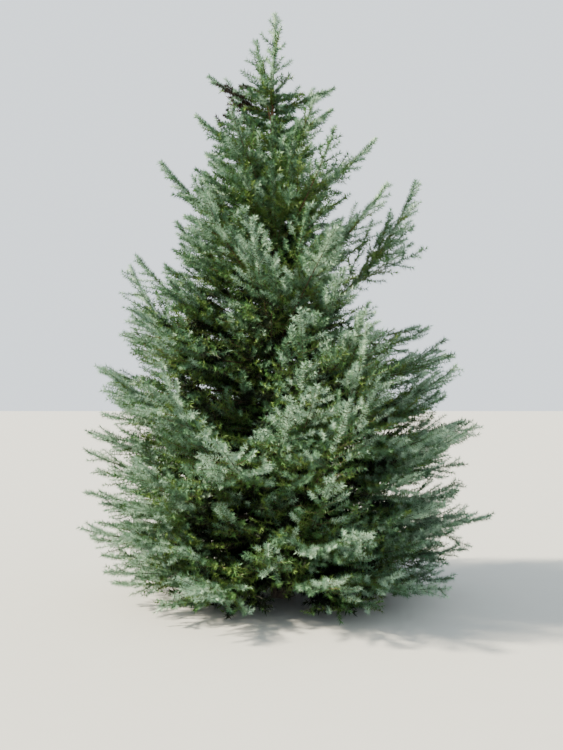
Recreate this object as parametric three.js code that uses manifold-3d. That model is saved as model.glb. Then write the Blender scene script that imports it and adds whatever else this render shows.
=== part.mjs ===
// A young blue deodar cedar, five metres tall and rooted in level ground: one trunk, the long
// low boughs that carry their foliage far out, and a mass of needle sprays for each branch.
// Millimetres, +Z up, +X to the right, -Y towards the viewer. The origin is the middle of the
// flat cut under the trunk.
import * as THREE from 'three';
import { mergeVertices } from 'three/addons/utils/BufferGeometryUtils.js';
import Module from 'manifold-3d';

const wasm = await Module();
wasm.setup();
const rad = THREE.MathUtils.degToRad;

// Driving dimensions of the trunk
const crownTop = 4980;
const trunkTop = 4420; // where the trunk thins into the leader shoot
const trunkRadius = 64; // above the root flare
const trunkTipRadius = 9;
const trunkTaper = 0.9; // 1 is a straight cone, less keeps the trunk thick for longer
const trunkSides = 12;
const trunkRings = 16;
const rootFlare = 34; // what the flare adds to the radius at the ground
const flareHeight = 130;
const rootRidges = 5;
const ridgeDepth = 0.35; // as a share of the flare
const leanLeft = 280; // how the trunk first leans to the left
const leanBack = 240; // and then comes back under its tip
const swayDepth = 45;

// Every piece stays this far from its neighbours
const seatGap = 0.3;
const clearance = 3;
const groundClearance = 18;

// One row for each tier of branches, from the ground up: where they leave the trunk, how many
// there are, the bearing of the first (0 is right, 90 is back), how far they reach out from the
// trunk, their mean rise and how much they curve upwards, in degrees, and how many side twigs
// each carries. A tier with boughs bears its foliage on bare limbs.
const tiers = [
  { height: 210, count: 5, turn: 24, reach: 1510, rise: 5, bend: 12, twigs: 7 },
  { height: 430, count: 5, turn: 0, reach: 1650, rise: 11, bend: 20, twigs: 8, boughs: true },
  { height: 800, count: 5, turn: 36, reach: 1610, rise: 18, bend: 26, twigs: 8, boughs: true },
  { height: 1200, count: 5, turn: -4, reach: 1490, rise: 24, bend: 32, twigs: 9 },
  { height: 1620, count: 4, turn: 44, reach: 1330, rise: 30, bend: 36, twigs: 9 },
  { height: 2080, count: 4, turn: 2, reach: 1200, rise: 34, bend: 36, twigs: 9 },
  { height: 2500, count: 4, turn: 50, reach: 1040, rise: 37, bend: 32, twigs: 9 },
  { height: 2860, count: 3, turn: 62, reach: 930, rise: 39, bend: 28, twigs: 8 },
  { height: 3210, count: 3, turn: 4, reach: 830, rise: 37, bend: 24, twigs: 7 },
  { height: 3560, count: 3, turn: 66, reach: 640, rise: 37, bend: 20, twigs: 7 },
  { height: 3860, count: 2, turn: 20, reach: 560, rise: 34, bend: 16, twigs: 5 },
  { height: 4110, count: 2, turn: 0, reach: 500, rise: 26, bend: 12, twigs: 5 },
];
const jitter = { height: 55, bearing: 8, reach: 0.05, rise: 3, sweep: 14 };

// Branches that stand out in the crown's outline, by tier letter and number
const outlineBranches = {
  b1: { bearing: -4, height: 420, reach: 1760, rise: 8, bend: 10, sweep: 4 },
  c3: { bearing: 180, height: 770, reach: 1640, rise: 15, bend: 20, sweep: 0 },
  e3: { bearing: 184, height: 1500, reach: 1330, rise: 45, bend: 40, boughs: true },
  f1: { bearing: -6, height: 2150, reach: 1190, rise: 49, bend: 46, boughs: true },
  h2: { bearing: 178, height: 2830, reach: 980, rise: 42, bend: 20 },
  i1: { bearing: 2, height: 3200, reach: 880, rise: 37, bend: 16 },
  j2: { bearing: 176, height: 3620, reach: 690, rise: 38, bend: 18 },
  k1: { bearing: 8, height: 3840, reach: 560, rise: 34, bend: 20 },
  k2: { bearing: 225, height: 4000, reach: 150, rise: 78, bend: 18 },
  l1: { bearing: 0, height: 4110, reach: 540, rise: 24, bend: 8 },
  l2: { bearing: 160, height: 4080, reach: 560, rise: 35, bend: 12 },
};

// The shoot that goes on where the trunk ends
const leader = { name: 'leader', seed: 1301, twigs: 3, height: trunkTop, bearing: 40, reach: 30 };
const leaderCourse = { rise: 87, bend: 3, sweep: 0, leader: true };

// Limbs
const boughShare = 0.34; // how much of a branch is a bare bough, where it has one
const limbSlimness = 0.0125; // a limb's radius at the trunk for each millimetre of its length
const limbTipRadius = 4.5;
const limbTaper = 0.8;
const courseStep = 0.01; // a path's heading is measured over this share of it, either way
const boughSides = 6;
const boughRings = 4;
const stemRings = 2;
const halfSide = Math.sqrt(3) / 2; // of a three-sided stem or twig of radius 1

// Side twigs: they fork off alternately left and right of their branch
const foliageFrom = { trunk: 0.22, bough: 0.37, leader: 0.05 }; // by what carries the branch
const lastTwig = 0.61; // how far along a branch its last twig forks off
const twigReach = 0.5; // the longest twig, with its spray, for each millimetre of branch
const twigGrowth = { first: 0.7, swell: 1.6, fade: 0.6 }; // shares of that along the foliage
const twigFork = { first: 56, last: 45 }; // degrees between a twig and its branch
const twigLifts = [30, 6, -8, 34, 12]; // degrees that twigs rise above their branch, in turn
const twigRise = 0.6; // how much of the branch's own rise they share
const twigBend = 10;
const twigSweep = 16; // how far they swing back along the branch
const twigJitter = { fork: 7, lift: 8, length: 0.08 };
const leaderTwigs = { fork: 100, rise: 48, reach: 0.8 };
const twigRadius = 6;
const twigTipRadius = 3.5;
const twigRings = 1;
const twigRoot = 0.12; // the share of a twig that may touch what it grows from
const shorter = [1, 0.85, 0.7, 0.55]; // a twig that would touch a neighbour is tried shorter

// The toothed spray of needles at the tip of each branch and twig
const tipSprayShare = 0.36; // how much of a branch its spray takes up
const sprayShare = 0.78; // and how much of a twig
const tipTeeth = 4;
const twigTeeth = 3;
const spray = {
  width: 0.42, // half of it near the collar, for each millimetre of spray
  thickness: 0.008, // half of it, the same way
  droop: 0.7, // how far the edges hang below the rib, for each millimetre to the side
  rib: 0.3, // where the spray is thickest
  taper: 0.75, // how soon the barbs shorten towards the tip
  firstBarb: 0.14,
  lastBarb: 0.78,
  hook: 0.66, // how far back from a barb the notch behind it lies, as a share of their spacing
  notch: 0.5, // and how far it reaches out, as a share of a barb there
};
const sprayTilt = { least: 5, most: 40 }; // degrees that a spray is rolled out of the level

// Numbers from 0 to 1 that come out the same every time, one stream for each branch
function stream(seed) {
  let state = (seed * 2654435761) >>> 0;
  return () => {
    state = (Math.imul(state, 1664525) + 1013904223) >>> 0;
    return state / 4294967296;
  };
}
const spread = (roll, amount) => (roll() * 2 - 1) * amount;
const seedOf = { tier: 100, twigs: 5000, tilts: 9000 }; // added up for each use of a branch's seed

// The trunk's centre at a height above the ground
function trunkCentre(z) {
  const u = z / crownTop;
  const x = -leanLeft * u ** 2 + leanBack * u ** 4;
  return new THREE.Vector3(x, swayDepth * Math.sin(Math.PI * u), z);
}

function trunkRadiusAt(z, angle) {
  const u = z / trunkTop;
  const plain = trunkTipRadius + (trunkRadius - trunkTipRadius) * (1 - u) ** trunkTaper;
  const flare = Math.exp(-z / flareHeight);
  return plain + rootFlare * flare * (1 + ridgeDepth * Math.cos(rootRidges * angle));
}

// An arc that leaves start on a bearing, rises more steeply as it goes and swings to one side
function arcPath({ start, bearing, rise, bend, sweep, length }) {
  const first = rad(rise - bend / 2);
  const turning = rad(bend);
  const bearingAt = (s) => bearing + sweep * s;
  const at = (s) => {
    const climb = first + turning * s;
    const out = (length * (Math.sin(climb) - Math.sin(first))) / turning;
    const up = (length * (Math.cos(first) - Math.cos(climb))) / turning;
    const b = rad(bearingAt(s));
    return new THREE.Vector3(out * Math.cos(b), out * Math.sin(b), up).add(start);
  };
  const heading = (s) => at(s + courseStep).sub(at(s - courseStep)).normalize();
  return { at, heading, length, bearingAt, riseAt: (s) => rise + bend * (s - 0.5) };
}

// Directions along a path and across it, rolled about it by a tilt in degrees
function frameAt(path, s, tilt) {
  const along = path.heading(s);
  const level = new THREE.Vector3(-along.y, along.x, 0).normalize();
  const across = level.applyAxisAngle(along, rad(tilt));
  return { along, across, face: new THREE.Vector3().crossVectors(along, across) };
}

// A closed geometry as a solid that can be joined and cut
function solidOf(geometry) {
  const bare = geometry.index ? geometry.toNonIndexed() : geometry.clone();
  const merged = mergeVertices(
    new THREE.BufferGeometry().setAttribute('position', bare.getAttribute('position')),
    1e-3,
  );
  const mesh = new wasm.Mesh({
    numProp: 3,
    vertProperties: new Float32Array(merged.getAttribute('position').array),
    triVerts: new Uint32Array(merged.index.array),
  });
  return new wasm.Manifold(mesh);
}

function geometryOf(solid) {
  const mesh = solid.getMesh();
  const geometry = new THREE.BufferGeometry();
  geometry.setAttribute('position', new THREE.BufferAttribute(mesh.vertProperties, 3));
  geometry.setIndex(new THREE.BufferAttribute(mesh.triVerts, 1));
  return geometry;
}

// The largest body of a solid, with loose scraps dropped and sealed hollows filled
function wholeBody(solid) {
  const bodies = solid.decompose();
  return bodies.reduce((best, body) => (body.volume() > best.volume() ? body : best));
}

function trunkSolid(extra) {
  const geometry = new THREE.CylinderGeometry(1, 1, 1, trunkSides, trunkRings);
  const position = geometry.getAttribute('position');
  const foot = -extra; // the sleeve that cuts the limbs clear reaches a little past both ends
  for (let i = 0; i < position.count; i++) {
    const share = (position.getY(i) + 0.5) ** 1.5; // rings stand closer in the root flare
    const z = foot + (trunkTop + extra - foot) * share;
    const angle = Math.atan2(position.getZ(i), position.getX(i));
    const size = Math.hypot(position.getX(i), position.getZ(i));
    const radius = size * (trunkRadiusAt(Math.min(Math.max(z, 0), trunkTop), angle) + extra);
    const centre = trunkCentre(z);
    const x = centre.x + radius * Math.cos(angle);
    const y = centre.y - radius * Math.sin(angle);
    position.setXYZ(i, x, y, z);
  }
  return solidOf(geometry);
}

// A tapering limb of a few flat sides along the first part of a path
function limbSolid(path, to, radiusAt, sides, rings) {
  const geometry = new THREE.CylinderGeometry(1, 1, 1, sides, rings);
  const position = geometry.getAttribute('position');
  for (let i = 0; i < position.count; i++) {
    const s = to * (position.getY(i) + 0.5);
    const { across, face } = frameAt(path, s, 0);
    const radius = radiusAt(s);
    const point = path
      .at(s)
      .addScaledVector(across, position.getX(i) * radius)
      .addScaledVector(face, -position.getZ(i) * radius);
    position.setXYZ(i, point.x, point.y, point.z);
  }
  return solidOf(geometry);
}

// One side of a spray from its tip round to its collar, as shares of its length along the rib
// and to the side: barbs that grow towards the collar, with notches between them
function sprayEdge(teeth) {
  const step = (spray.lastBarb - spray.firstBarb) / (teeth - 1);
  const widthAt = (x) => spray.width * Math.min(1, spray.taper + x) * (1 - x) ** spray.taper;
  const edge = [];
  for (let k = teeth - 1; k >= 0; k--) {
    const barb = spray.firstBarb + step * k;
    const notch = barb - spray.hook * step;
    edge.push([barb, widthAt(barb)]);
    if (k > 0) edge.push([notch, spray.notch * widthAt(notch)]);
  }
  return edge;
}

// A twig of three sides and the spray at its tip, as one shell that is thickest at its rib
function sprigSolid({ path, from, collar, radiusAt, rings, teeth, tilt, extra = 0 }) {
  const corners = [];
  const sections = [];
  for (let i = 0; i <= rings; i++) {
    const s = from + ((collar - from) * i) / rings;
    const { across, face } = frameAt(path, s, tilt);
    const r = radiusAt(s) + extra;
    const side = (y) => path.at(s).addScaledVector(across, y * r).addScaledVector(face, -r / 2);
    sections.push([path.at(s).addScaledVector(face, r), side(halfSide), side(-halfSide)]);
  }
  corners.push(...sections[0]);
  for (let i = 0; i < rings; i++) {
    sections[i].forEach((a, k) => {
      const next = (k + 1) % 3;
      const [far, farNext] = [sections[i + 1][k], sections[i + 1][next]];
      corners.push(a, farNext, sections[i][next], a, far, farNext);
    });
  }
  const { along, across, face } = frameAt(path, collar, tilt);
  const length = (1 - collar) * path.length;
  const place = (x, y, rise) =>
    path
      .at(collar)
      .addScaledVector(along, x * (length + extra))
      .addScaledVector(across, y * (length + extra))
      .addScaledVector(face, rise - spray.droop * Math.abs(y) * length);
  const edge = sprayEdge(teeth);
  const left = edge.map(([x, y]) => place(x, y, 0));
  const right = edge.map(([x, y]) => place(x, -y, 0)).reverse();
  const thick = spray.thickness * length + extra;
  const [collarTop, collarLeft, collarRight] = sections[rings];
  const fan = (rib, loop) =>
    loop.forEach((point, i) => corners.push(rib, point, loop[(i + 1) % loop.length]));
  const tip = place(1, 0, 0);
  const under = [tip, ...left, collarLeft, collarRight, ...right];
  fan(place(spray.rib, 0, thick), [tip, ...left, collarLeft, collarTop, collarRight, ...right]);
  fan(place(spray.rib, 0, -thick), under.reverse());
  return solidOf(new THREE.BufferGeometry().setFromPoints(corners));
}

// The branches of every tier, each with its own stream of numbers
function layOutBranches() {
  const branches = [];
  tiers.forEach((tier, row) => {
    for (let i = 0; i < tier.count; i++) {
      const seed = seedOf.tier * (row + 1) + i + 1;
      const roll = stream(seed);
      const name = `${'abcdefghijkl'[row]}${i + 1}`;
      const branch = {
        ...tier,
        name,
        seed,
        height: tier.height + spread(roll, jitter.height),
        bearing: tier.turn + (360 * i) / tier.count + spread(roll, jitter.bearing),
        reach: tier.reach * (1 + spread(roll, jitter.reach)),
        rise: tier.rise + spread(roll, jitter.rise),
        sweep: spread(roll, jitter.sweep),
      };
      branches.push({ ...branch, ...outlineBranches[name] });
    }
  });
  branches.push({ ...leader, ...leaderCourse });
  return branches;
}

function branchPath(branch) {
  const first = rad(branch.rise - branch.bend / 2);
  const last = rad(branch.rise + branch.bend / 2);
  const meanCosine = (Math.sin(last) - Math.sin(first)) / (last - first);
  const start = trunkCentre(branch.height);
  const length = branch.leader ? crownTop - trunkTop : branch.reach / meanCosine;
  return arcPath({ ...branch, start, length });
}

function limbRadius(path) {
  const thick = Math.max(limbSlimness * path.length, 2 * limbTipRadius);
  return (s) => limbTipRadius + (thick - limbTipRadius) * (1 - s) ** limbTaper;
}

// How long a side twig is, as a share of the longest, along the foliage from 0 to 1
function twigShare(u) {
  const { first, swell, fade } = twigGrowth;
  return Math.min(1, first + swell * u) * (1 - fade * u);
}

// The side twigs of one branch
function sideTwigs(branch, path, from) {
  const roll = stream(branch.seed + seedOf.twigs);
  const longest = twigReach * path.length * (branch.leader ? leaderTwigs.reach : 1);
  const twigs = [];
  for (let i = 0; i < branch.twigs; i++) {
    const u = i / (branch.twigs - 1);
    const s = from + (lastTwig - from) * u;
    const side = i % 2 ? 1 : -1;
    const fork = twigFork.first + (twigFork.last - twigFork.first) * u;
    const turn = fork + spread(roll, twigJitter.fork);
    const lift = twigLifts[i % twigLifts.length] + spread(roll, twigJitter.lift);
    twigs.push({
      start: path.at(s),
      bearing: path.bearingAt(s) + side * (branch.leader ? leaderTwigs.fork : turn),
      rise: branch.leader ? leaderTwigs.rise : path.riseAt(s) * twigRise + lift,
      bend: twigBend,
      sweep: -side * twigSweep,
      length: longest * twigShare(u) * (1 + spread(roll, twigJitter.length)),
    });
  }
  return twigs;
}

// Everything placed so far, with its box, so that a new piece can be kept clear of it
const placed = [];

function boxOf(solid) {
  const { min, max } = solid.boundingBox();
  return new THREE.Box3(new THREE.Vector3(...min), new THREE.Vector3(...max));
}

function place(solid) {
  placed.push({ solid, box: boxOf(solid) });
}

function isClear(grown) {
  const box = boxOf(grown);
  if (box.min.z < groundClearance) return false;
  return !placed.some(
    (other) => other.box.intersectsBox(box) && !other.solid.intersect(grown).isEmpty(),
  );
}

const bark = new THREE.MeshStandardMaterial({ color: 0x6b5d52, roughness: 0.9 });
const limbBark = new THREE.MeshStandardMaterial({ color: 0x766252, roughness: 0.85 });
const needles = new THREE.MeshStandardMaterial({ color: 0x6f8a78, roughness: 0.7 });

const tree = new THREE.Group();
tree.name = 'deodar_cedar';

function addPart(name, solid, material) {
  const mesh = new THREE.Mesh(geometryOf(solid), material);
  mesh.name = name;
  tree.add(mesh);
}

const trunk = trunkSolid(0);
const trunkSleeve = trunkSolid(seatGap);
place(trunkSleeve);
addPart('trunk', trunk, bark);

// Boughs and the stems of the masses come first, so that twigs and sprays can keep off them
const masses = layOutBranches().map((branch) => {
  const path = branchPath(branch);
  const radiusAt = limbRadius(path);
  let from = 0;
  if (branch.boughs) {
    const bough = limbSolid(path, boughShare, radiusAt, boughSides, boughRings);
    const seated = wholeBody(bough.subtract(trunkSleeve));
    addPart(`bough_${branch.name}`, seated, limbBark);
    place(seated);
    from = boughShare + seatGap / path.length;
  }
  const owner = `foliage_${branch.name}`;
  const shape = { path, from, collar: 1 - tipSprayShare, radiusAt, teeth: tipTeeth, tilt: 0 };
  const stem = sprigSolid({ ...shape, rings: stemRings });
  const seated = branch.boughs ? stem : wholeBody(stem.subtract(trunkSleeve));
  place(seated);
  const carrier = branch.boughs ? 'bough' : branch.leader ? 'leader' : 'trunk';
  const twigs = sideTwigs(branch, path, foliageFrom[carrier]);
  return { owner, twigs, roll: stream(branch.seed + seedOf.tilts), solids: [seated] };
});

const twigForm = { rings: twigRings, teeth: twigTeeth };

// A twig joins its mass where all of it but its root is clear of the ground and of every piece
// placed before. Its spray is rolled out of the level, by turns to the left and to the right.
function addSprig(mass, twig, turn) {
  const radiusAt = (s) => twigRadius + (twigTipRadius - twigRadius) * s;
  const tilt = turn * (sprayTilt.least + (sprayTilt.most - sprayTilt.least) * mass.roll());
  for (const share of shorter) {
    const path = arcPath({ ...twig, length: twig.length * share });
    const sprig = { path, collar: 1 - sprayShare, radiusAt, ...twigForm, tilt };
    if (isClear(sprigSolid({ ...sprig, from: twigRoot, extra: clearance }))) {
      const solid = sprigSolid({ ...sprig, from: 0 });
      mass.solids.push(solid);
      place(solid);
      return;
    }
  }
}

const mostTwigs = Math.max(...tiers.map((tier) => tier.twigs));
for (let i = 0; i < mostTwigs; i++) {
  for (const mass of masses) {
    if (i < mass.twigs.length) addSprig(mass, mass.twigs[i], i % 4 < 2 ? 1 : -1);
  }
}

for (const mass of masses) {
  addPart(mass.owner, wholeBody(wasm.Manifold.union(mass.solids)), needles);
}

export default tree;
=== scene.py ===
# A young blue deodar cedar: relief bark on trunk and limbs, twigs that fork on from them, and
# sprays of needles from their silvery tips to the mossy inside of the crown.
import math
import bpy
import numpy as np
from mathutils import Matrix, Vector


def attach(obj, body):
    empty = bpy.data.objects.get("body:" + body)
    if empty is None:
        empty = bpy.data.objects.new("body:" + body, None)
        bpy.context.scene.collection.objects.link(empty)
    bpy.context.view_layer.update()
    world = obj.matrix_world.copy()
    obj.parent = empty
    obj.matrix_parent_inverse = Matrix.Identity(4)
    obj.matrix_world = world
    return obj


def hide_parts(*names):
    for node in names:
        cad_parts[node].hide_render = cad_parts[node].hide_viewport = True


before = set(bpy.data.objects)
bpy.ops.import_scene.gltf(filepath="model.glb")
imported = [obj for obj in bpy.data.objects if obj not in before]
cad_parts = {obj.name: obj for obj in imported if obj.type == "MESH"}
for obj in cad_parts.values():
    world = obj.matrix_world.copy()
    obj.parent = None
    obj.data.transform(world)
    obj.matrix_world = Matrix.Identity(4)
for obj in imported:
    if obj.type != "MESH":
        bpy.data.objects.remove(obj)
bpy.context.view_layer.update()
print("frame loaded")


# Camera: a small compact held at eye height and tilted up a little
photo = {
    "height": 750,  # rows of the picture
    "horizon": 405,  # the row where eye height lies
    "longSide": 36.0,  # mm of film that the picture's height stands for
    "lens": 38.0,  # mm
    "eyeHeight": 1.6,
    "distance": 6.7,  # metres from the lens to the trunk
}


def addCamera():
    rowsPerTurn = photo["lens"] / photo["longSide"] * photo["height"]
    tiltUp = math.atan((photo["horizon"] - photo["height"] / 2) / rowsPerTurn)
    bpy.ops.object.camera_add(
        location=(0, -photo["distance"], photo["eyeHeight"]),
        rotation=(math.pi / 2 + tiltUp, 0, 0),
    )
    camera = bpy.context.object
    camera.data.lens = photo["lens"]
    camera.data.sensor_width = photo["longSide"]
    bpy.context.scene.camera = camera


addCamera()


# Colours and shader nodes
def linearColour(hexText):
    channels = [int(hexText[i : i + 2], 16) / 255 for i in (1, 3, 5)]
    curve = [c / 12.92 if c <= 0.04045 else ((c + 0.055) / 1.055) ** 2.4 for c in channels]
    return (*curve, 1.0)


def addNode(material, kind, settings=None, links=None):
    node = material.node_tree.nodes.new(kind)
    for key, value in (settings or {}).items():
        if isinstance(key, int) or key in node.inputs:
            node.inputs[key].default_value = value
        else:
            setattr(node, key, value)
    for key, source in (links or {}).items():
        material.node_tree.links.new(source, node.inputs[key])
    return node


def newMaterial(name):
    material = bpy.data.materials.new(name)
    material.use_nodes = True
    material.node_tree.nodes.clear()
    return material


def finishMaterial(material, shader):
    addNode(material, "ShaderNodeOutputMaterial", links={"Surface": shader.outputs[0]})
    return material


def perMetre(millimetres):
    return 1000.0 / millimetres  # a pattern's scale from the real size of its grain


# Studio: a plain pale floor, one warm key light from the left and an even fill all round
studio = {
    "floorSize": 400.0,
    "floor": "#B8BAB6",
    "floorGrain": 240.0,  # mm between faint clouds in the painted floor
    "floorClouds": 0.96,  # how light the darker clouds are
    "sky": "#E4ECF2",
    "skyStrength": 1.8,
    "sunTurn": (50, 0, -84),  # degrees: it stands 40 up on the left
    "sunStrength": 16.0,
    "sunSize": 5,  # degrees across, so that shadows stay soft
    "sunColour": "#FFF0D6",
}


def paintedFloor():
    # matt studio paint: pale, even, with only the faintest clouds
    material = newMaterial("mattStudioPaint")
    place = addNode(material, "ShaderNodeTexCoord")
    grain = addNode(
        material,
        "ShaderNodeTexNoise",
        {"Scale": perMetre(studio["floorGrain"]), "Detail": 3.0},
        {"Vector": place.outputs["Object"]},
    )
    shade = addNode(material, "ShaderNodeValToRGB", links={"Fac": grain.outputs["Fac"]})
    pale = linearColour(studio["floor"])
    shade.color_ramp.elements[0].color = tuple(c * studio["floorClouds"] for c in pale[:3]) + (1,)
    shade.color_ramp.elements[1].color = pale
    paint = addNode(
        material,
        "ShaderNodeBsdfPrincipled",
        {"Roughness": 0.9, "Specular IOR Level": 0.2},
        {"Base Color": shade.outputs["Color"]},
    )
    return finishMaterial(material, paint)


def buildStudio():
    bpy.ops.object.select_all(action="DESELECT")
    bpy.ops.mesh.primitive_plane_add(size=studio["floorSize"], location=(0, 0, 0))
    floor = bpy.context.object
    floor.name = "floor"
    floor.data.materials.append(paintedFloor())
    turn = [math.radians(a) for a in studio["sunTurn"]]
    bpy.ops.object.light_add(type="SUN", rotation=turn)
    sun = bpy.context.object
    sun.data.energy = studio["sunStrength"]
    sun.data.angle = math.radians(studio["sunSize"])
    sun.data.color = linearColour(studio["sunColour"])[:3]
    world = bpy.data.worlds.new("paleSky")
    bpy.context.scene.world = world
    world.use_nodes = True
    background = world.node_tree.nodes["Background"]
    background.inputs["Color"].default_value = linearColour(studio["sky"])
    background.inputs["Strength"].default_value = studio["skyStrength"]


buildStudio()
print("studio ready")


# The tree's own rule, with the sizes of the source in metres and degrees
tree = {
    "crownTop": 4.98,
    "trunkTop": 4.42,
    "trunkRadius": 0.064,
    "trunkTipRadius": 0.009,
    "trunkTaper": 0.9,
    "rootFlare": 0.034,
    "flareHeight": 0.13,
    "rootRidges": 5,
    "ridgeDepth": 0.35,
    "leanLeft": 0.28,
    "leanBack": 0.24,
    "swayDepth": 0.045,
    "limbSlimness": 0.0125,
    "foliageFrom": {"trunk": 0.22, "bough": 0.37, "leader": 0.05},
    "lastTwig": 0.61,
    "twigReach": 0.5,
    "twigGrowth": {"first": 0.7, "swell": 1.6, "fade": 0.6},
    "twigFork": {"first": 56, "last": 45},
    "twigLifts": [30, 6, -8, 34, 12],
    "twigRise": 0.6,
    "twigBend": 10,
    "twigSweep": 16,
    "twigJitter": {"fork": 7, "lift": 8, "length": 0.08},
    "leaderTwigs": {"fork": 100, "rise": 48, "reach": 0.8},
    "sprayTilt": {"least": 5, "most": 40},
    "jitter": {"height": 0.055, "bearing": 8, "reach": 0.05, "rise": 3, "sweep": 14},
    "seedOf": {"tier": 100, "twigs": 5000, "tilts": 9000},
}
# One row for each tier: height, count, turn, reach, rise, bend, twigs, with bare boughs or not
tiers = [
    (0.210, 5, 24, 1.510, 5, 12, 7, False),
    (0.430, 5, 0, 1.650, 11, 20, 8, True),
    (0.800, 5, 36, 1.610, 18, 26, 8, True),
    (1.200, 5, -4, 1.490, 24, 32, 9, False),
    (1.620, 4, 44, 1.330, 30, 36, 9, False),
    (2.080, 4, 2, 1.200, 34, 36, 9, False),
    (2.500, 4, 50, 1.040, 37, 32, 9, False),
    (2.860, 3, 62, 0.930, 39, 28, 8, False),
    (3.210, 3, 4, 0.830, 37, 24, 7, False),
    (3.560, 3, 66, 0.640, 37, 20, 7, False),
    (3.860, 2, 20, 0.560, 34, 16, 5, False),
    (4.110, 2, 0, 0.500, 26, 12, 5, False),
]
# The branches that carry the crown's outline differ from their tier's row
outlineBranches = {
    "b1": {"bearing": -4, "height": 0.420, "reach": 1.760, "rise": 8, "bend": 10, "sweep": 4},
    "c3": {"bearing": 180, "height": 0.770, "reach": 1.640, "rise": 15, "bend": 20, "sweep": 0},
    "e3": {"bearing": 184, "height": 1.50, "reach": 1.33, "rise": 45, "bend": 40, "boughs": True},
    "f1": {"bearing": -6, "height": 2.15, "reach": 1.19, "rise": 49, "bend": 46, "boughs": True},
    "h2": {"bearing": 178, "height": 2.830, "reach": 0.980, "rise": 42, "bend": 20},
    "i1": {"bearing": 2, "height": 3.200, "reach": 0.880, "rise": 37, "bend": 16},
    "j2": {"bearing": 176, "height": 3.620, "reach": 0.690, "rise": 38, "bend": 18},
    "k1": {"bearing": 8, "height": 3.840, "reach": 0.560, "rise": 34, "bend": 20},
    "k2": {"bearing": 225, "height": 4.000, "reach": 0.150, "rise": 78, "bend": 18},
    "l1": {"bearing": 0, "height": 4.110, "reach": 0.540, "rise": 24, "bend": 8},
    "l2": {"bearing": 160, "height": 4.080, "reach": 0.560, "rise": 35, "bend": 12},
}


goldenAngle = 137.5  # degrees round the stem from one leaf or shoot to the next


def stream(seed):
    # numbers from 0 to 1, the same every time
    state = (seed * 2654435761) & 0xFFFFFFFF
    while True:
        state = (state * 1664525 + 1013904223) & 0xFFFFFFFF
        yield state / 4294967296


def spread(roll, amount):
    return (next(roll) * 2 - 1) * amount


def trunkCentre(z):
    u = z / tree["crownTop"]
    x = -tree["leanLeft"] * u**2 + tree["leanBack"] * u**4
    return np.array([x, tree["swayDepth"] * math.sin(math.pi * u), z])


def trunkRadiusAt(z, angle):
    u = z / tree["trunkTop"]
    widest, thinnest = tree["trunkRadius"], tree["trunkTipRadius"]
    plain = thinnest + (widest - thinnest) * (1 - u) ** tree["trunkTaper"]
    flare = math.exp(-z / tree["flareHeight"])
    ridges = 1 + tree["ridgeDepth"] * math.cos(tree["rootRidges"] * angle)
    return plain + tree["rootFlare"] * flare * ridges


class ArcPath:
    # an arc that leaves its start on a bearing, rises more steeply as it goes and swings aside
    def __init__(self, start, bearing, rise, bend, sweep, length):
        self.start = np.asarray(start, float)
        self.bearing, self.rise, self.bend, self.sweep = bearing, rise, bend, sweep
        self.length = length

    def at(self, s):
        first = math.radians(self.rise - self.bend / 2)
        turning = math.radians(self.bend)
        climb = first + turning * s
        out = self.length * (math.sin(climb) - math.sin(first)) / turning
        up = self.length * (math.cos(first) - math.cos(climb)) / turning
        b = math.radians(self.bearing + self.sweep * s)
        return self.start + np.array([out * math.cos(b), out * math.sin(b), up])

    def heading(self, s):
        step = self.at(s + 0.01) - self.at(s - 0.01)
        return step / np.linalg.norm(step)

    def riseAt(self, s):
        return self.rise + self.bend * (s - 0.5)

    def bearingAt(self, s):
        return self.bearing + self.sweep * s


def layOutBranches():
    branches = []
    jitter = tree["jitter"]
    for row, (height, count, turn, reach, rise, bend, twigs, boughs) in enumerate(tiers):
        for i in range(count):
            seed = tree["seedOf"]["tier"] * (row + 1) + i + 1
            roll = stream(seed)
            branch = {
                "name": "abcdefghijkl"[row] + str(i + 1),
                "seed": seed,
                "height": height + spread(roll, jitter["height"]),
                "bearing": turn + 360 * i / count + spread(roll, jitter["bearing"]),
                "reach": reach * (1 + spread(roll, jitter["reach"])),
                "rise": rise + spread(roll, jitter["rise"]),
                "sweep": spread(roll, jitter["sweep"]),
                "bend": bend,
                "twigs": twigs,
                "carrier": "bough" if boughs else "trunk",
            }
            branch.update(outlineBranches.get(branch["name"], {}))
            if branch.get("boughs"):
                branch["carrier"] = "bough"
            branches.append(branch)
    leader = {"name": "leader", "seed": 1301, "twigs": 3, "height": tree["trunkTop"]}
    leader.update(bearing=40, reach=0.03, rise=87, bend=3, sweep=0, carrier="leader")
    return branches + [leader]


# How far the crown's outside is from the trunk, by height
crownReach = [
    (0.0, 1.40), (0.4, 1.54), (1.0, 1.60), (1.6, 1.60), (2.1, 1.50), (2.4, 1.28), (2.75, 0.98),
    (3.2, 0.82), (3.6, 0.66), (4.0, 0.48), (4.4, 0.28), (4.98, 0.10),
]
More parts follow.
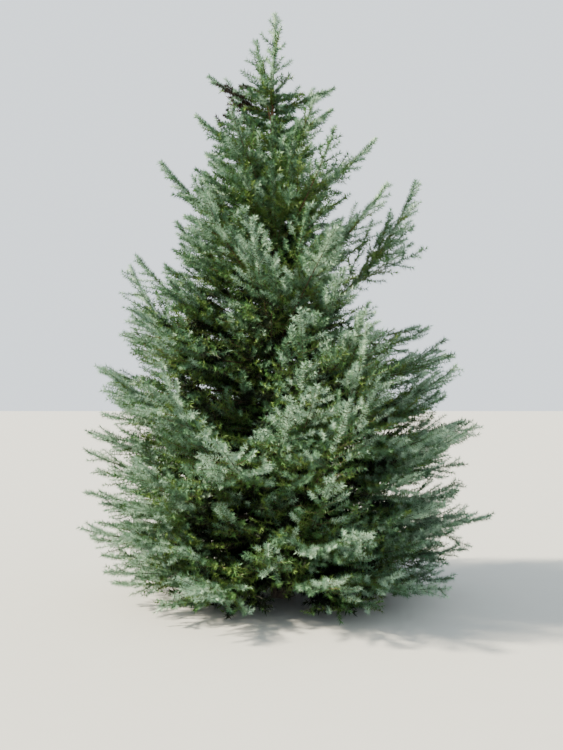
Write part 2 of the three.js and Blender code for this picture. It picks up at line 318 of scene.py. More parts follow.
# Weaker branches that fill the crown between the tiers, by the same rule
between = {
    "count": 580,
    "seed": 1401,
    "heights": (0.14, 4.30),
    "crowding": 1.2,  # above 1 there are more of them low down
    "bearingStep": 0.8191725,  # three steps that spread bearings, reaches and rises evenly
    "reachStep": 0.6710436,
    "riseStep": 0.5497005,
    "innerShare": 0.36,  # this many stay inside the crown, in the shade
    "innerReach": (0.22, 0.60),
    "innerLeafFrom": 0.12,
    "reach": (0.68, 1.0),  # share of the crown's reach at their tips' height
    "leafFrom": 0.42,  # share of their length where their twigs start
    "evenness": (1.0, 0.4),  # in front and aside: below 1, most reach far
    "rise": (-18, 22),  # degrees added to the rise of the tiers at their height
    "leastRise": -1,
    "bend": 0.95,  # of the bend of the tiers there
    "upturn": 2.1,  # more bend in front and at the back, so that their tips stand up
    "upturnByHeight": ((0, 0.3, 1.2, 2.1), (0.55, 1, 1, 0.3)),  # heights, and share of it there
    "twigs": 0,  # none of the strong ones, only the finer that make a frond
    "older": 0.13,  # at most added to the age of all on one branch, for its colour
    "paintedRecessShade": 0.18,  # added too on those that reach least, behind the others' tips: painted shade, as more age and so darker kinds
    "wider": 0.01,  # more reach to the left and right than to the front and back
    "flatter": 23,  # degrees less rise there
    "gathered": 9,  # degrees that bearings are drawn to the left and right, for dense sides
    "hollows": [  # where they reach less far: an open notch on the right, recesses in front
        {"bearing": 0, "halfWidth": 46, "heights": (2.3, 4.3), "reach": 0.5},
        {"bearing": 258, "halfWidth": 26, "heights": (2.05, 2.65), "reach": 0.62},
        {"bearing": 250, "halfWidth": 14, "heights": (1.1, 1.45), "reach": 0.75},
    ],
    "window": {"bearing": 270, "halfWidth": 50, "heights": (3.68, 4.10)},  # trunk in sight
}


def reachAt(height):
    heights, reaches = zip(*crownReach)
    return float(np.interp(height, heights, reaches))


def isWithin(place, bearing, height):
    low, high = place["heights"]
    turned = abs((bearing - place["bearing"] + 180) % 360 - 180)
    return turned < place["halfWidth"] and low < height < high


def branchesBetween():
    rows = [[row[column] for row in tiers] for column in (0, 4, 5)]
    roll = stream(between["seed"])
    lowest, highest = between["heights"]
    branches = []
    for k in range(between["count"]):
        share = ((k + next(roll)) / between["count"]) ** between["crowding"]
        height = lowest + (highest - lowest) * share
        rise, bend = (np.interp(height, rows[0], row) for row in rows[1:])
        branch = {"name": "between%d" % k, "seed": between["seed"] + k, "height": height}
        bearing = 360 * (k * between["bearingStep"] % 1)
        bearing -= between["gathered"] * math.sin(math.radians(2 * bearing))
        branch["bearing"] = bearing
        if isWithin(between["window"], bearing, height):
            continue
        aside = math.cos(math.radians(bearing)) ** 2  # 0 in front and behind, 1 to the sides
        inFront, toSides = between["evenness"]
        far = k * between["reachStep"] % 1
        inner = far < between["innerShare"]
        if inner:
            least, most = between["innerReach"]
            far = far / between["innerShare"]
        else:
            least, most = between["reach"]
            far = (far - between["innerShare"]) / (1 - between["innerShare"])
        far = far ** (inFront + (toSides - inFront) * aside)
        # painted shade on branches that stay behind the others' tips
        paintedRecessShade = 0 if inner else between["paintedRecessShade"] * (1 - far)
        far = least + (most - least) * far
        far *= 1 + between["wider"] * aside
        branch["leafFrom"] = between["innerLeafFrom" if inner else "leafFrom"]
        least, most = between["rise"]
        rise += least + (most - least) * (k * between["riseStep"] % 1)
        branch["rise"] = max(between["leastRise"], rise - between["flatter"] * aside)
        climb = math.tan(math.radians(branch["rise"]))
        reach = far * reachAt(height)
        for _ in range(4):  # it settles where the tip meets the crown's outside
            reach = far * reachAt(height + reach * climb)
        for hollow in [] if inner else between["hollows"]:
            if isWithin(hollow, bearing, height + reach * climb):
                reach *= hollow["reach"]
                break
        branch["reach"] = reach
        branch["sweep"] = spread(roll, tree["jitter"]["sweep"])
        branch["older"] = between["older"] * next(roll) ** 2 + paintedRecessShade
        upturn = between["upturn"] * np.interp(height, *between["upturnByHeight"])
        branch["bend"] = bend * (between["bend"] + upturn * (1 - aside))
        branch.update(twigs=between["twigs"], carrier="trunk")
        branches.append(branch)
    return branches


def branchPath(branch):
    first = math.radians(branch["rise"] - branch["bend"] / 2)
    last = math.radians(branch["rise"] + branch["bend"] / 2)
    meanCosine = (math.sin(last) - math.sin(first)) / (last - first)
    length = branch["reach"] / meanCosine
    if branch["carrier"] == "leader":
        length = tree["crownTop"] - tree["trunkTop"]
    course = [branch[key] for key in ("bearing", "rise", "bend", "sweep")]
    return ArcPath(trunkCentre(branch["height"]), *course, length)


def limbRadius(path, s, slimness=1):
    tip = finer["limbTip"]
    thick = tree["limbSlimness"] * slimness * path.length
    return tip + (thick - tip) * (1 - s) ** finer["limbTaper"]


def twigShare(u):
    growth = tree["twigGrowth"]
    return min(1, growth["first"] + growth["swell"] * u) * (1 - growth["fade"] * u)


# Finer growth, past what the source carries: more twigs, then shoots on every twig
finer = {
    "limbTip": 0.0018,  # metres of radius
    "limbTaper": 1.3,
    "gap": 0.050,  # metres from one side twig to the next, left and right by turns
    "lastTwig": 0.985,
    "taper": 0.6,  # length of a side twig for each metre that is left to the tip
    "shortest": 0.06,
    "longest": (0.22, 0.36),
    "level": 0.35,  # share of the branch's own rise that its side twigs take up
    "lift": 0.35,  # of the source's lifts
    "unrest": 7,
    "moreUnrest": 38,  # in front and at the back, on level fronds
    "steepTip": 30,  # degrees of rise at a tip from which none of it is added
    "sideUnrest": 15,  # to the left and right, in the broad body
    "tilt": 9,
    "fork": (70, 52),  # degrees from the branch, at its start and at its tip
    "forkUnrest": 8,
    "shootGap": 0.075,
    "shootTaper": 0.45,
    "shootShortest": 0.02,
    "shootLongest": (0.09, 0.22),
    "shootCurl": (0.03, 0.12, 0.05),  # of its length: forward at the middle, at the end, and up
    "leastWithShoots": 0.33,  # a shorter twig is one plain brush
    "shadeDepth": 0.42,  # deeper in the crown than this some shoots have died
    "shadeAlive": 0.9,  # the share that is alive there
    "twigGirth": (0.0030, 0.0012),  # radius at the start and the end
    "shootGirth": (0.0018, 0.0009),
    "twigAging": 0.6,  # a twig's inner half is older by this for each metre of it
    "shootFork": (48, 60),
    "shootHang": (-12, 12),  # degrees out of the spray's own plane
    "groundGap": 0.03,
    "coveredAbove": 1.4,  # a limb that leaves the trunk higher has needles nearly from it
    "coveredFrom": 0.15,
    "outerPart": 0.7,  # the share of a limb's length whose height counts for all of it
    "limbPart": 0.2,  # metres of limb that are one age
    "limbNeedles": (1.1, 0.2),  # longer on a limb, but less so towards a slender one's tip
    "depthAging": {"twig": 0.62, "limb": 0.7},  # older by this from the outside to the trunk
    "tipAging": {"twig": 0.25, "limb": 0.3},  # and by this for each metre to the tip
    "slender": {  # the upper crown, from one height to the other
        "from": 2.1,
        "to": 3.5,
        "length": 0.52,  # of the usual side twigs
        "needles": 0.16,  # longer by this share
        "age": 0.21,  # older by this, so darker in colour: painted shade of the upper plumes seen from below against the sky
        "depth": 0.7,  # and out of the shade by this share
    },
    "leader": {"age": 0.1, "needles": 1.2, "rise": 42, "unrest": 10},
    "low": {"below": 0.8, "age": 0.12},  # painted shade: sprays in the shade of all above them are aged into darker kinds
    "oldest": (0.9, 0.54),  # no age above this, in the broad body and where it is slender
    "trunkShoots": {
        "heights": (2.8, 4.4),
        "bare": (3.88, 4.06),
        "count": 90,
        "length": (0.05, 0.15),
        "rise": 32,
        "sweep": 20,
        "age": (0.3, 0.6),
        "needles": 0.8,
    },
}


def slenderness(height):
    # 0 in the crown's broad body, 1 where its plumes stand alone
    low, high = finer["slender"]["from"], finer["slender"]["to"]
    return min(1, max(0, (height - low) / (high - low)))


def frameAt(path, s, tilt):
    # along the path, across it to the left, and up from its face
    along = path.heading(s)
    level = np.array([-along[1], along[0], 0.0])
    level /= np.linalg.norm(level)
    up = np.cross(along, level)
    c, d = math.cos(math.radians(tilt)), math.sin(math.radians(tilt))
    return along, c * level + d * up, c * up - d * level


def leafStart(branch):
    return branch.get("leafFrom", tree["foliageFrom"][branch["carrier"]])


def sourceTwigs(branch, path, roll):
    # the very twigs of the source, with the tilt of each one's spray
    start = leafStart(branch)
    onLeader = branch["carrier"] == "leader"
    rule = tree["leaderTwigs"]
    tilts = stream(branch["seed"] + tree["seedOf"]["tilts"])
    longest = tree["twigReach"] * path.length * (rule["reach"] if onLeader else 1)
    fork, jitter = tree["twigFork"], tree["twigJitter"]
    twigs = []
    for i in range(branch["twigs"]):
        u = i / (branch["twigs"] - 1)
        s = start + (tree["lastTwig"] - start) * u
        side = 1 if i % 2 else -1
        turn = fork["first"] + (fork["last"] - fork["first"]) * u + spread(roll, jitter["fork"])
        lift = tree["twigLifts"][i % 5] + spread(roll, jitter["lift"])
        length = longest * twigShare(u) * (1 + spread(roll, jitter["length"]))
        bearing = path.bearingAt(s) + side * (rule["fork"] if onLeader else turn)
        rise = rule["rise"] if onLeader else path.riseAt(s) * tree["twigRise"] + lift
        tilt = tree["sprayTilt"]
        rolled = tilt["least"] + (tilt["most"] - tilt["least"]) * next(tilts)
        course = (bearing, rise, tree["twigBend"], -side * tree["twigSweep"])
        rolled *= 1 if i % 4 < 2 else -1
        twigs.append((s, ArcPath(path.at(s), *course, length), rolled))
    return twigs


def finerTwigs(branch, path, roll):
    # twigs between those of the source, out to the tip
    start = leafStart(branch)
    count = int((finer["lastTwig"] - start) * path.length / finer["gap"])
    onLeader = branch["carrier"] == "leader"
    slender = slenderness(path.at(finer["outerPart"])[2])
    shorter = 1 - (1 - finer["slender"]["length"]) * slender
    least, most = (shorter * longest for longest in finer["longest"])
    seenOnEdge = math.sin(math.radians(branch["bearing"])) ** 2
    seenOnEdge *= max(0, 1 - path.riseAt(1) / finer["steepTip"])
    unrest = finer["unrest"] + finer["moreUnrest"] * seenOnEdge
    aside = math.cos(math.radians(branch["bearing"])) ** 4
    unrest += finer["sideUnrest"] * aside * (1 - slender)
    twigs = []
    for k in range(count):
        s = start + (finer["lastTwig"] - start) * (k + 0.25 + 0.5 * next(roll)) / count
        toTip = (1 - s) * path.length
        length = min(toTip * finer["taper"] * shorter**0.5, least + (most - least) * next(roll))
        side = 1 if k % 2 else -1
        fork = finer["fork"][0] + (finer["fork"][1] - finer["fork"][0]) * s
        bearing = path.bearingAt(s) + side * (fork + spread(roll, finer["forkUnrest"]))
        lift = tree["twigLifts"][k % 5] * finer["lift"] + spread(roll, unrest)
        rise = path.riseAt(s) * finer["level"] + lift
        if onLeader:
            bearing = goldenAngle * k
            rise = finer["leader"]["rise"] + spread(roll, finer["leader"]["unrest"])
        tilt = spread(roll, finer["tilt"])
        course = (bearing, rise, tree["twigBend"], -side * tree["twigSweep"])
        length += finer["shortest"] * shorter
        twigs.append((s, ArcPath(path.at(s), *course, length), tilt))
    return twigs


class Axes:
    # every stretch that bears needles, as a bent line with its age, vigour and girth
    def __init__(self):
        self.rows = []

    def add(self, start, middle, end, order, age, vigour, girth=(0, 0)):
        if min(start[2], end[2]) < finer["groundGap"]:
            return
        control = 2 * middle - (start + end) / 2
        length = np.linalg.norm(end - start)
        self.rows.append((*start, *control, *end, length, order, age, vigour, *girth))

    def arrays(self):
        table = np.array(self.rows)
        names = ("length", "order", "age", "vigour", "girthAtStart", "girthAtEnd")
        columns = {name: table[:, 9 + k] for k, name in enumerate(names)}
        columns.update(start=table[:, 0:3], control=table[:, 3:6], end=table[:, 6:9])
        return columns


def crownDepth(point):
    # 0 on the crown's outside, 1 at the trunk
    centre = trunkCentre(point[2])
    away = math.hypot(point[0] - centre[0], point[1] - centre[1])
    shade = 1 - finer["slender"]["depth"] * slenderness(point[2])
    return shade * max(0, 1 - away / reachAt(point[2]))


def addShoots(axes, twig, tilt, roll, age, vigour):
    # shoots along one twig, left and right by turns, that hang a little from its plane
    count = int(0.95 * twig.length / finer["shootGap"])
    least, most = finer["shootLongest"]
    midCurl, endCurl, lift = finer["shootCurl"]
    for k in range(count):
        s = (k + 0.6 + 0.3 * next(roll)) / (count + 0.5)
        along, across, face = frameAt(twig, s, tilt)
        side = 1 if k % 2 else -1
        fork = math.radians(finer["shootFork"][0] + next(roll) * np.ptp(finer["shootFork"]))
        hang = math.radians(finer["shootHang"][0] + next(roll) * np.ptp(finer["shootHang"]))
        toTip = (1 - s) * twig.length
        length = least + (most - least) * next(roll)
        length = min(finer["shootTaper"] * toTip + finer["shootShortest"], length)
        out = math.cos(hang) * side * across + math.sin(hang) * face
        direction = math.cos(fork) * along + math.sin(fork) * out
        base = twig.at(s)
        if crownDepth(base) > finer["shadeDepth"] and next(roll) > finer["shadeAlive"]:
            continue
        middle = base + direction * length * 0.5 + along * length * midCurl
        end = base + direction * length + along * length * endCurl
        end = end + np.array([0, 0, length * lift])
        older = age + finer["tipAging"]["twig"] * toTip
        axes.add(base, middle, end, 3, older, vigour, finer["shootGirth"])


def addTrunkShoots(axes):
    # short shoots straight from the upper trunk
    rule = finer["trunkShoots"]
    roll = stream(tree["seedOf"]["tier"])
    low, high = rule["heights"]
    least, most = rule["length"]
    young, old = rule["age"]
    for k in range(rule["count"]):
        base = trunkCentre(low + (high - low) * (k + next(roll)) / rule["count"])
        if rule["bare"][0] < base[2] < rule["bare"][1]:
            continue
        length = least + (most - least) * next(roll)
        course = (goldenAngle * k, rule["rise"], tree["twigBend"], spread(roll, rule["sweep"]))
        shoot = ArcPath(base, *course, length)
        age = young + (old - young) * next(roll)
        girth = finer["shootGirth"]
        axes.add(base, shoot.at(0.5), shoot.at(1), 3, age, rule["needles"], girth)


def addTwigs(axes, branch, path, older, oldest, slender):
    # each twig in two halves, the inner one older, with its shoots
    roll = stream(branch["seed"] + tree["seedOf"]["twigs"])
    vigour = 1 + finer["slender"]["needles"] * slender
    inward, toTip = finer["depthAging"]["twig"], finer["tipAging"]["twig"]
    thick, thin = finer["twigGirth"]
    half = (thick + thin) / 2
    for s, twig, tilt in sourceTwigs(branch, path, roll) + finerTwigs(branch, path, roll):
        middle, end = twig.at(0.5), twig.at(1)
        age = older + inward * crownDepth(end) + toTip * ((1 - s) * path.length)
        age = min(oldest, age)
        aged = min(oldest, age + finer["twigAging"] * twig.length)
        axes.add(twig.start, twig.at(0.25), middle, 2, aged, vigour, (thick, half))
        axes.add(middle, twig.at(0.75), end, 2, age, vigour, (half, thin))
        if twig.length > finer["leastWithShoots"]:
            addShoots(axes, twig, tilt, roll, age, vigour)


def addLimbNeedles(axes, branch, path, older, oldest, slender):
    # the limb itself bears needles too, in parts that are older inwards
    start = leafStart(branch)
    if branch["height"] > finer["coveredAbove"]:
        start = min(start, finer["coveredFrom"])
    parts = max(2, round(path.length * (1 - start) / finer["limbPart"]))
    inward, toTip = finer["depthAging"]["limb"], finer["tipAging"]["limb"]
    most, less = finer["limbNeedles"]
    for part in range(parts):
        a = start + (1 - start) * part / parts
        b = start + (1 - start) * (part + 1) / parts
        age = older + inward * crownDepth(path.at(b)) + toTip * (1 - b) * path.length
        vigour = most - less * slender * b
        if branch["carrier"] == "leader":
            vigour = finer["leader"]["needles"]
        axes.add(path.at(a), path.at((a + b) / 2), path.at(b), 1, min(oldest, age), vigour)


def growCrown():
    axes = Axes()
    limbs = []
    broad, narrow = finer["oldest"]
    for branch in layOutBranches() + branchesBetween():
        path = branchPath(branch)
        limbs.append((branch, path))
        height = path.at(finer["outerPart"])[2]
        slender = slenderness(height)
        # painted shade: the upper plumes are aged into darker kinds
        older = branch.get("older", 0) + finer["slender"]["age"] * slender
        if branch["carrier"] == "leader":
            older = finer["leader"]["age"]
        # painted shade: low sprays are aged into darker kinds
        older += finer["low"]["age"] * max(0, 1 - height / finer["low"]["below"])
        oldest = broad + (narrow - broad) * slender
        addTwigs(axes, branch, path, older, oldest, slender)
        addLimbNeedles(axes, branch, path, older, oldest, slender)
    addTrunkShoots(axes)
    return limbs, axes.arrays()


limbs, axes = growCrown()
metres = round(axes["length"].sum())
print("crown laid out:", len(axes["length"]), "twigs and shoots,", metres, "m")


# Bark
barkTones = {"fissureTo": 0.32, "scaleFrom": 0.62, "oldBelow": 0.5, "youngAbove": 3.6}


def barkMaterial(name, low, high, fissure, grain, bump):
    # cedar bark: dry and matt, fine scales stretched along the limb, darker in the cracks
    material = newMaterial(name)
    place = addNode(material, "ShaderNodeTexCoord")
    stretch = addNode(
        material,
        "ShaderNodeMapping",
        {"Scale": (1, 1, 0.3)},
        {"Vector": place.outputs["Object"]},
    )
    scales = addNode(
        material,
        "ShaderNodeTexNoise",
        {"Scale": perMetre(grain), "Detail": 6.0, "Roughness": 0.65},
        {"Vector": stretch.outputs["Vector"]},
    )
    tone = addNode(material, "ShaderNodeValToRGB", links={"Fac": scales.outputs["Fac"]})
    tone.color_ramp.elements[0].position = barkTones["fissureTo"]
    tone.color_ramp.elements[0].color = linearColour(fissure)
    tone.color_ramp.elements[1].position = barkTones["scaleFrom"]
    tone.color_ramp.elements[1].color = linearColour(low)
    split = addNode(material, "ShaderNodeSeparateXYZ", links={"Vector": place.outputs["Object"]})
    climb = addNode(
        material,
        "ShaderNodeMapRange",
        {"From Min": barkTones["oldBelow"], "From Max": barkTones["youngAbove"]},
        {"Value": split.outputs["Z"]},
    )
    mixed = addNode(
        material,
        "ShaderNodeMix",
        {"data_type": "RGBA", 7: linearColour(high)},
        {0: climb.outputs["Result"], 6: tone.outputs["Color"]},
    )
    height = addNode(
        material,
        "ShaderNodeBump",
        {"Strength": 0.6, "Distance": bump},
        {"Height": scales.outputs["Fac"]},
    )
    bark = addNode(
        material,
        "ShaderNodeBsdfPrincipled",
        {"Roughness": 0.88, "Specular IOR Level": 0.25},
        {"Base Color": mixed.outputs[2], "Normal": height.outputs["Normal"]},
    )
    return finishMaterial(material, bark)


trunkLook = {
    "sides": 36,
    "rings": 150,
    "ringsLower": 1.25,  # above 1 there are more rings near the ground
    "relief": 0.0035,  # metres that the scales stand out
    "scaleSize": 0.016,
    "stretch": 3.5,
}


def deselectAll():
    if bpy.context.object and bpy.context.object.mode != "OBJECT":
        bpy.ops.object.mode_set(mode="OBJECT")
    bpy.ops.object.select_all(action="DESELECT")


def addRelief(piece, size, strength, stretch):
    # bark scales, longer than wide, raised from the surface and applied
    deselectAll()
    piece.select_set(True)
    bpy.context.view_layer.objects.active = piece
    bpy.ops.object.empty_add()
    guide = bpy.context.object
    guide.scale = (1, 1, stretch)
    bpy.context.view_layer.update()
    texture = bpy.data.textures.new(piece.name + "Scales", "CLOUDS")
    texture.noise_scale = size
    texture.noise_depth = 3
    bpy.context.view_layer.objects.active = piece
    relief = piece.modifiers.new("scales", "DISPLACE")
    relief.texture = texture
    relief.texture_coords = "OBJECT"
    relief.texture_coords_object = guide
    relief.strength = strength
    relief.mid_level = 0.5
    bpy.ops.object.modifier_apply(modifier="scales")
    bpy.data.objects.remove(guide)


def buildTrunk():
    deselectAll()
    sides, rings = trunkLook["sides"], trunkLook["rings"]
    bpy.ops.mesh.primitive_circle_add(
        vertices=sides, radius=trunkRadiusAt(0, 0), fill_type="NGON", location=(0, 0, 0)
    )
    trunk = bpy.context.object
    trunk.name = "trunkBark"
    bpy.ops.object.mode_set(mode="EDIT")
    bpy.ops.mesh.select_all(action="SELECT")
    lower = trunkLook["ringsLower"]
    heights = [tree["trunkTop"] * (k / rings) ** lower for k in range(rings + 1)]
    for low, high in zip(heights, heights[1:]):
        step = Vector(trunkCentre(high) - trunkCentre(low))
        bpy.ops.mesh.extrude_region_move(TRANSFORM_OT_translate={"value": step})
    bpy.ops.object.mode_set(mode="OBJECT")
    for point in trunk.data.vertices:
        centre = trunkCentre(point.co.z)
        angle = math.atan2(point.co.y - centre[1], point.co.x - centre[0])
        radius = trunkRadiusAt(point.co.z, -angle)
        point.co.x = centre[0] + radius * math.cos(angle)
        point.co.y = centre[1] + radius * math.sin(angle)
    addRelief(trunk, trunkLook["scaleSize"], trunkLook["relief"], trunkLook["stretch"])
    for point in trunk.data.vertices:
        point.co.z = max(point.co.z, 0)
    bpy.ops.object.shade_smooth()
    look = barkMaterial("cedarTrunkBark", "#655A50", "#5C4434", "#2A2420", 22, 0.004)
    trunk.data.materials.append(look)
    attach(trunk, "root")
    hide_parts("trunk")
    return trunk


limbLook = {
    "relief": 0.0016,
    "scaleSize": 0.012,
    "stretch": 1.0,
    "weakSlimness": 0.6,  # of the weaker branches' girth
}


def buildLimbs(name, limbs, bevelSteps, rings, slimness, material):
    deselectAll()
    curve = bpy.data.curves.new(name, "CURVE")
    curve.dimensions = "3D"
    curve.bevel_depth = 1.0
    curve.bevel_resolution = bevelSteps
    curve.use_fill_caps = True
    for branch, path in limbs:
        line = curve.splines.new("POLY")
        line.points.add(rings)
        for k in range(rings + 1):
            line.points[k].co = (*path.at(k / rings), 1)
            line.points[k].radius = limbRadius(path, k / rings, slimness)
    piece = bpy.data.objects.new(name, curve)
    bpy.context.collection.objects.link(piece)
    piece.select_set(True)
    bpy.context.view_layer.objects.active = piece
    bpy.ops.object.convert(target="MESH")
    piece = bpy.context.object
    addRelief(piece, limbLook["scaleSize"], limbLook["relief"] * slimness, limbLook["stretch"])
    bpy.ops.object.shade_smooth()
    piece.data.materials.append(material)
    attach(piece, "root")
    boughs = [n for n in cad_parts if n.startswith("bough_")]
    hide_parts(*boughs)
    print(name, len(piece.data.polygons), "faces")


trunk = buildTrunk()
limbBark = barkMaterial("cedarLimbBark", "#4E453C", "#5A4636", "#241E19", 14, 0.002)
strong = [limb for limb in limbs if "leafFrom" not in limb[0]]
weak = [limb for limb in limbs if "leafFrom" in limb[0]]
buildLimbs("limbBark", strong, 4, 26, 1, limbBark)
buildLimbs("weakLimbBark", weak, 1, 10, limbLook["weakSlimness"], limbBark)
print("bark done")


# Joined meshes from arrays, for what there is too much of to model one by one
def joinedPiece(name, points, faces, material, normals=None):
    mesh = bpy.data.meshes.new(name)
    mesh.vertices.add(len(points))
    mesh.vertices.foreach_set("co", points.astype(np.float32).ravel())
    mesh.loops.add(faces.size)
    mesh.loops.foreach_set("vertex_index", faces.astype(np.int32).ravel())
    mesh.polygons.add(len(faces))
    starts = np.arange(0, faces.size, faces.shape[1], dtype=np.int32)
    mesh.polygons.foreach_set("loop_start", starts)
    mesh.update(calc_edges=True)
    if normals is not None:
        mesh.normals_split_custom_set_from_vertices(normals)
    mesh.materials.append(material)
    piece = bpy.data.objects.new(name, mesh)
    bpy.context.collection.objects.link(piece)
    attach(piece, "root")
    return piece


def unit(rows):
    return rows / np.maximum(np.linalg.norm(rows, axis=-1, keepdims=True), 1e-9)


def bentLine(axes, pick, t):
    t = t[:, None]
    a, b, c = axes["start"][pick], axes["control"][pick], axes["end"][pick]
    points = (1 - t) ** 2 * a + 2 * t * (1 - t) * b + t**2 * c
    return points, unit((1 - t) * (b - a) + t * (c - b))


def acrossFrame(along):
    # two directions square to each row of along
    helper = np.where(np.abs(along[:, 2:3]) < 0.9, [[0.0, 0.0, 1.0]], [[1.0, 0.0, 0.0]])
    first = unit(np.cross(along, helper))
    return first, np.cross(along, first)


twigLook = {"sides": 3, "rings": {2: 2, 3: 1}}  # rings on twigs, order 2, and on shoots, 3


def twigMaterial():
    # first-year cedar wood: tan to orange brown, thin matt skin
    material = newMaterial("youngCedarTwig")
    place = addNode(material, "ShaderNodeTexCoord")
    blotch = addNode(
        material,
        "ShaderNodeTexNoise",
        {"Scale": perMetre(30), "Detail": 2.0},
        {"Vector": place.outputs["Object"]},
    )
    tone = addNode(material, "ShaderNodeValToRGB", links={"Fac": blotch.outputs["Fac"]})
    tone.color_ramp.elements[0].color = linearColour("#3C3226")
    tone.color_ramp.elements[1].color = linearColour("#6A5840")
    skin = addNode(
        material,
        "ShaderNodeBsdfPrincipled",
        {"Roughness": 0.8, "Specular IOR Level": 0.3},
        {"Base Color": tone.outputs["Color"]},
    )
    return finishMaterial(material, skin)


def buildTwigs(axes):
    material = twigMaterial()
    for order in (2, 3):
        pick = np.flatnonzero(axes["order"] == order)
        rings, sides = twigLook["rings"][order], twigLook["sides"]
        points = []
        for k in range(rings + 1):
            t = np.full(len(pick), k / rings)
            centre, along = bentLine(axes, pick, t)
            first, second = acrossFrame(along)
            thick, thin = axes["girthAtStart"][pick], axes["girthAtEnd"][pick]
            radius = (thick + (thin - thick) * k / rings)[:, None]
            for side in range(sides):
                a = 2 * math.pi * side / sides
                points.append(centre + radius * (math.cos(a) * first + math.sin(a) * second))
        points = np.stack(points, axis=1).reshape(-1, 3)
        faces = []
        for k in range(rings):
            for side in range(sides):
                a, b = k * sides + side, k * sides + (side + 1) % sides
                faces.append([a, b, b + sides, a + sides])
        step = (rings + 1) * sides
        offsets = np.arange(len(pick))[:, None, None] * step
        faces = (np.array(faces)[None] + offsets).reshape(-1, 4)
        piece = joinedPiece("twigs%d" % order, points, faces, material)
        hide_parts(*foliageNodes)


foliageNodes = [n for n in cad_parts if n.startswith("foliage_")]
buildTwigs(axes)
print("twigs done")


# Needles: each is one slim pointed face, in tufts round its shoot, so that this is a brush
needleLook = {
    "seed": 4711,
    "lean": (48, 84),  # degrees between a needle and its shoot
    "tuft": 0.018,  # metres from one tuft to the next
    "tuftDepth": 0.5,  # of that, along the shoot
    "tuftWidth": 75,  # degrees round the shoot, to either side
    "fewest": 4,
    "lengths": (0.78, 1.12),  # least and most, of the usual one
    "end": 0.03,  # metres at a shoot's end where needles point forward
    "endLean": (14, 46),
    "rounded": 0.78,  # share of a round brush in each needle's shading
    "limbShare": 1.8,  # on the limbs themselves, so that no bark shows from above
    "moreWhereSlender": (0.75, 1.4),  # where plumes stand alone: on twigs and on limbs
    "paintedShadeFrom": 0.36,  # how deep in the crown the darkest needles, painted shade, start
    "drift": 0.06,  # slow change of age from one side of the crown to the other
    "chance": 0.12,  # in the age of each shoot
    "mossForGreen": 0.4,  # this share of the green shoots is moss green
    "greenForMoss": 0.2,
    "offGround": 0.004,
    "mostInPiece": 190000,
}
# Colours are dealt out by shoot, from the youngest to the oldest, and dried ones apart. The
# near-black fifth kind is painted shade for the inside of the crown. The numbers are needles per
# metre, length and width in metres. They are wider than life, and more so inside, because there
# are fewer of them.
needleKinds = [
    ("glaucousNeedles", "#A6C6AE", "#86AA90", 640, 0.035, 0.0050),
    ("blueGreenNeedles", "#6E9774", "#53795C", 440, 0.036, 0.0060),
    ("greenNeedles", "#558248", "#416635", 230, 0.038, 0.0080),
    ("mossNeedles", "#668740", "#506D33", 210, 0.038, 0.0080),
    ("paintedShadeNeedles", "#213418", "#152210", 220, 0.054, 0.0160),
    ("dryNeedles", "#3C3024", "#261E17", 420, 0.030, 0.0085),
]
# Where some sprays near the top have dried: middle, reach and share of them
dried = {"middle": (-0.44, 0.0, 4.18), "reach": (0.20, 0.45, 0.27), "share": 0.6}
kindLimits = (0.28, 0.43, 0.57, 0.71)  # the ages between the first five kinds; past the last one, deep inside, needles take the painted shade


def needleMaterial(name, light, dark):
    # waxy needle skin: matt bloom over green, a little satin where it catches the light
    material = newMaterial(name)
    place = addNode(material, "ShaderNodeTexCoord")
    drift = addNode(
        material,
        "ShaderNodeTexNoise",
        {"Scale": perMetre(25), "Detail": 2.0},
        {"Vector": place.outputs["Object"]},
    )
    tone = addNode(material, "ShaderNodeValToRGB", links={"Fac": drift.outputs["Fac"]})
    tone.color_ramp.elements[0].position = 0.35
    tone.color_ramp.elements[0].color = linearColour(dark)
    tone.color_ramp.elements[1].position = 0.65
    tone.color_ramp.elements[1].color = linearColour(light)
    skin = addNode(
        material,
        "ShaderNodeBsdfPrincipled",
        {"Roughness": 0.55, "Specular IOR Level": 0.35},
        {"Base Color": tone.outputs["Color"]},
    )
    return finishMaterial(material, skin)


def dealKinds(axes, rng):
    # the kind of needle on each shoot, by its age with some chance in it
    middle = (axes["start"] + axes["end"]) / 2
    drift = np.sin(middle[:, 0] * 3.1 + 1.3) * np.sin(middle[:, 2] * 2.3)
    age = axes["age"] + needleLook["drift"] * drift
    age += rng.normal(0, needleLook["chance"], len(age))
    kinds = np.digitize(age, kindLimits)
    swap = rng.random(len(age))
    kinds = np.where((kinds == 2) & (swap < needleLook["mossForGreen"]), 3, kinds)
    kinds = np.where((kinds == 3) & (swap > 1 - needleLook["greenForMoss"]), 2, kinds)
    # painted shade: the near-black needles stay deep inside the crown
    for i in np.flatnonzero(kinds == 4):
        if crownDepth(middle[i]) < needleLook["paintedShadeFrom"]:
            kinds[i] = 3
    away = np.linalg.norm((middle - dried["middle"]) / np.array(dried["reach"]), axis=1)
    return np.where((away < 1) & (rng.random(len(age)) < dried["share"]), 5, kinds)


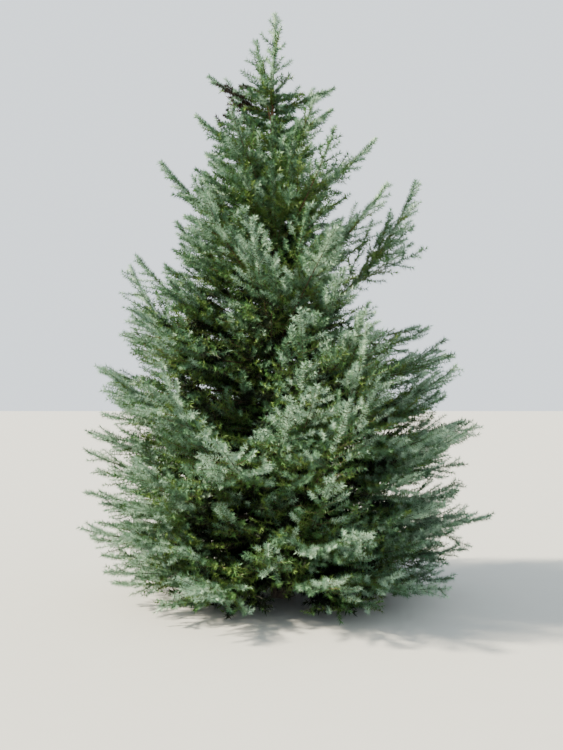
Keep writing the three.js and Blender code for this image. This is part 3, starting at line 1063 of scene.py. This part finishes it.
def growNeedles(axes, pick, usualDensity, longest, widest, rng):
    # the needles of the shoots in pick: two points at each one's foot, one at its tip
    look = needleLook
    onLimb = axes["order"][pick] == 1
    height = axes["control"][pick, 2]
    slender = np.interp(height, (finer["slender"]["from"], finer["slender"]["to"]), (0, 1))
    onTwigs, onLimbs = look["moreWhereSlender"]
    density = usualDensity * np.where(onLimb, look["limbShare"], 1)
    density *= 1 + slender * np.where(onLimb, onLimbs, onTwigs)
    count = np.maximum(look["fewest"], axes["length"][pick] * density).astype(int)
    owner = np.repeat(pick, count)
    total = len(owner)
    rank = np.arange(total) - np.repeat(np.cumsum(count) - count, count)
    t = (rank + rng.random(total)) / np.repeat(count, count)
    tufts = np.maximum(1, np.round(axes["length"][owner] / look["tuft"]))
    tuft = np.minimum(np.floor(t * tufts), tufts - 1)
    t = (tuft + 0.5 + look["tuftDepth"] * (t * tufts - tuft - 0.5)) / tufts
    base, along = bentLine(axes, owner, t)
    first, second = acrossFrame(along)
    turn = math.radians(goldenAngle) * tuft + owner
    turn += math.radians(look["tuftWidth"]) * 2 * (rng.random(total) - 0.5)
    turn += math.pi * (rng.random(total) > 0.5)
    radial = np.cos(turn)[:, None] * first + np.sin(turn)[:, None] * second
    atEnd = np.clip(1 - axes["length"][owner] * (1 - t) / look["end"], 0, 1)
    low, high = np.radians(look["lean"])
    endLow, endHigh = np.radians(look["endLean"])
    lean = (low + (high - low) * rng.random(total)) * (1 - atEnd)
    lean += (endLow + (endHigh - endLow) * rng.random(total)) * atEnd
    direction = unit(np.cos(lean)[:, None] * along + np.sin(lean)[:, None] * radial)
    least, most = look["lengths"]
    length = longest * axes["vigour"][owner] * (least + (most - least) * rng.random(total))
    side = unit(np.cross(direction, rng.normal(0, 1, (total, 3)))) * widest / 2
    face = unit(np.cross(side, direction))
    turned = np.where((face * radial).sum(axis=1) < 0, -1, 1)[:, None]
    side, face = side * turned, face * turned
    tip = base + direction * length[:, None]
    points = np.stack([base - side, base + side, tip], axis=1)
    return points, unit(look["rounded"] * radial + (1 - look["rounded"]) * face)


def buildNeedles(axes):
    rng = np.random.default_rng(needleLook["seed"])
    kinds = dealKinds(axes, rng)
    total = 0
    for number, (name, light, dark, *growth) in enumerate(needleKinds):
        points, normals = growNeedles(axes, np.flatnonzero(kinds == number), *growth, rng)
        above = points[:, :, 2].min(axis=1) > needleLook["offGround"]
        points, normals = points[above], normals[above]
        material = needleMaterial(name, light, dark)
        parts = math.ceil(len(points) / needleLook["mostInPiece"])
        for part, block in enumerate(np.array_split(np.arange(len(points)), parts)):
            faces = np.arange(len(block) * 3).reshape(-1, 3)
            corners = points[block].reshape(-1, 3)
            outward = np.repeat(normals[block], 3, axis=0)
            piece = joinedPiece("%s%d" % (name, part + 1), corners, faces, material, outward)
            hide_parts(*foliageNodes)
        total += len(points)
        metres = round(axes["length"][kinds == number].sum())
        print(name, len(points), "needles on", metres, "m in", parts, "pieces")
    print("needles in all:", total)


buildNeedles(axes)
print("needles done")
